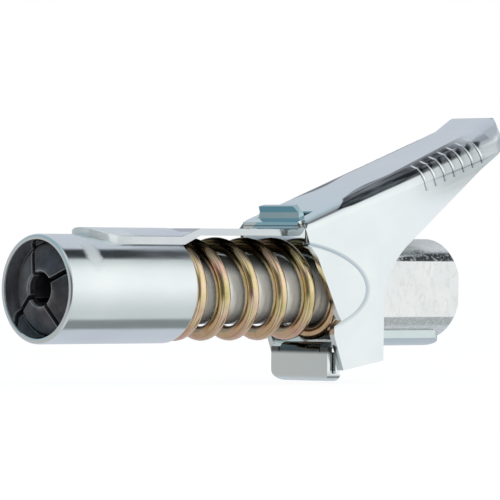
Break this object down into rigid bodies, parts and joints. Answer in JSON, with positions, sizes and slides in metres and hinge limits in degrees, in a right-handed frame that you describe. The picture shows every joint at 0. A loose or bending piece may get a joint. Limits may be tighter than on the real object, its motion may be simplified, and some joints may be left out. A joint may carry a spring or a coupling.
{
  "type": "grease coupler",
  "caption": "Lever-locked grease coupler: jaws inside a sliding sleeve grip a grease fitting; squeezing the lever draws the sleeve back against a coil spring and frees it.",
  "frame": {"origin": "centre of the inlet thread at the inlet face, where the hose fitting screws in", "axes": "+X out of the inlet along the coupler's axis, +Z towards the lever, -Y the side seen in the picture"},
  "size_m": [0.0911, 0.018, 0.0403],
  "materials": {
    "zinc_plate": "bright bluish zinc plating on steel",
    "body_steel": "turned and ground bright steel",
    "yellow_zinc": "yellow passivated spring steel",
    "black_oxide": "black oxide on hardened steel",
    "rubber": "smooth moulded rubber",
    "brass": "turned brass"
  },
  "bodies": {
    "frame": {"coupler_body": "body_steel", "heel_bracket": "zinc_plate", "valve_seat": "brass", "spring_stop": "brass", "main_spring": "yellow_zinc", "seal_spring": "body_steel", "check_spring": "body_steel"},
    "sleeve": {"front_sleeve": "zinc_plate", "sleeve_strap": "zinc_plate"},
    "lever": {"lever": "zinc_plate"},
    "jaw_1": {"jaw_1": "black_oxide"},
    "jaw_2": {"jaw_2": "black_oxide"},
    "jaw_3": {"jaw_3": "black_oxide"},
    "jaw_4": {"jaw_4": "black_oxide"},
    "seal": {"nose_seal": "rubber", "seal_washer": "brass", "seal_piston": "body_steel", "piston_ring": "rubber"},
    "ball": {"check_ball": "body_steel"}
  },
  "joints": [
    {"name": "lever_squeeze", "type": "hinge", "parent": "frame", "child": "lever", "pos_m": [-0.02565, 0, -0.0122], "axis": [0, 1, 0], "range_deg": [0, 12], "stiffness_Nm_per_rad": 2, "springref_deg": -17.19},
    {"name": "sleeve_slide", "type": "slide", "parent": "frame", "child": "sleeve", "axis": [1, 0, 0], "range_m": [0, 0.00485], "deforming": ["main_spring"]},
    {"name": "jaw_1_rock", "type": "hinge", "parent": "frame", "child": "jaw_1", "pos_m": [-0.0639, 0.00404, 0.00116], "axis": [0, 0.2756, -0.9613], "range_deg": [0, 3.6]},
    {"name": "jaw_2_rock", "type": "hinge", "parent": "frame", "child": "jaw_2", "pos_m": [-0.0639, -0.00116, 0.00404], "axis": [0, 0.9613, 0.2756], "range_deg": [0, 3.6]},
    {"name": "jaw_3_rock", "type": "hinge", "parent": "frame", "child": "jaw_3", "pos_m": [-0.0639, -0.00404, -0.00116], "axis": [0, -0.2756, 0.9613], "range_deg": [0, 3.6]},
    {"name": "jaw_4_rock", "type": "hinge", "parent": "frame", "child": "jaw_4", "pos_m": [-0.0639, 0.00116, -0.00404], "axis": [0, -0.9613, -0.2756], "range_deg": [0, 3.6]},
    {"name": "seal_float", "type": "slide", "parent": "frame", "child": "seal", "axis": [1, 0, 0], "range_m": [0, 0.0013], "stiffness_N_per_m": 800, "springref_m": -0.003, "deforming": ["seal_spring"]},
    {"name": "ball_lift", "type": "slide", "parent": "frame", "child": "ball", "axis": [-1, 0, 0], "range_m": [0, 0.0012], "stiffness_N_per_m": 300, "springref_m": -0.002, "deforming": ["check_spring"]}
  ],
  "couplings": [
    {"joint": "sleeve_slide", "follows": "lever_squeeze", "m_per_rad": 0.023157},
    {"joint": "jaw_1_rock", "follows": "lever_squeeze", "ratio": 0.3},
    {"joint": "jaw_2_rock", "follows": "lever_squeeze", "ratio": 0.3},
    {"joint": "jaw_3_rock", "follows": "lever_squeeze", "ratio": 0.3},
    {"joint": "jaw_4_rock", "follows": "lever_squeeze", "ratio": 0.3}
  ]
}
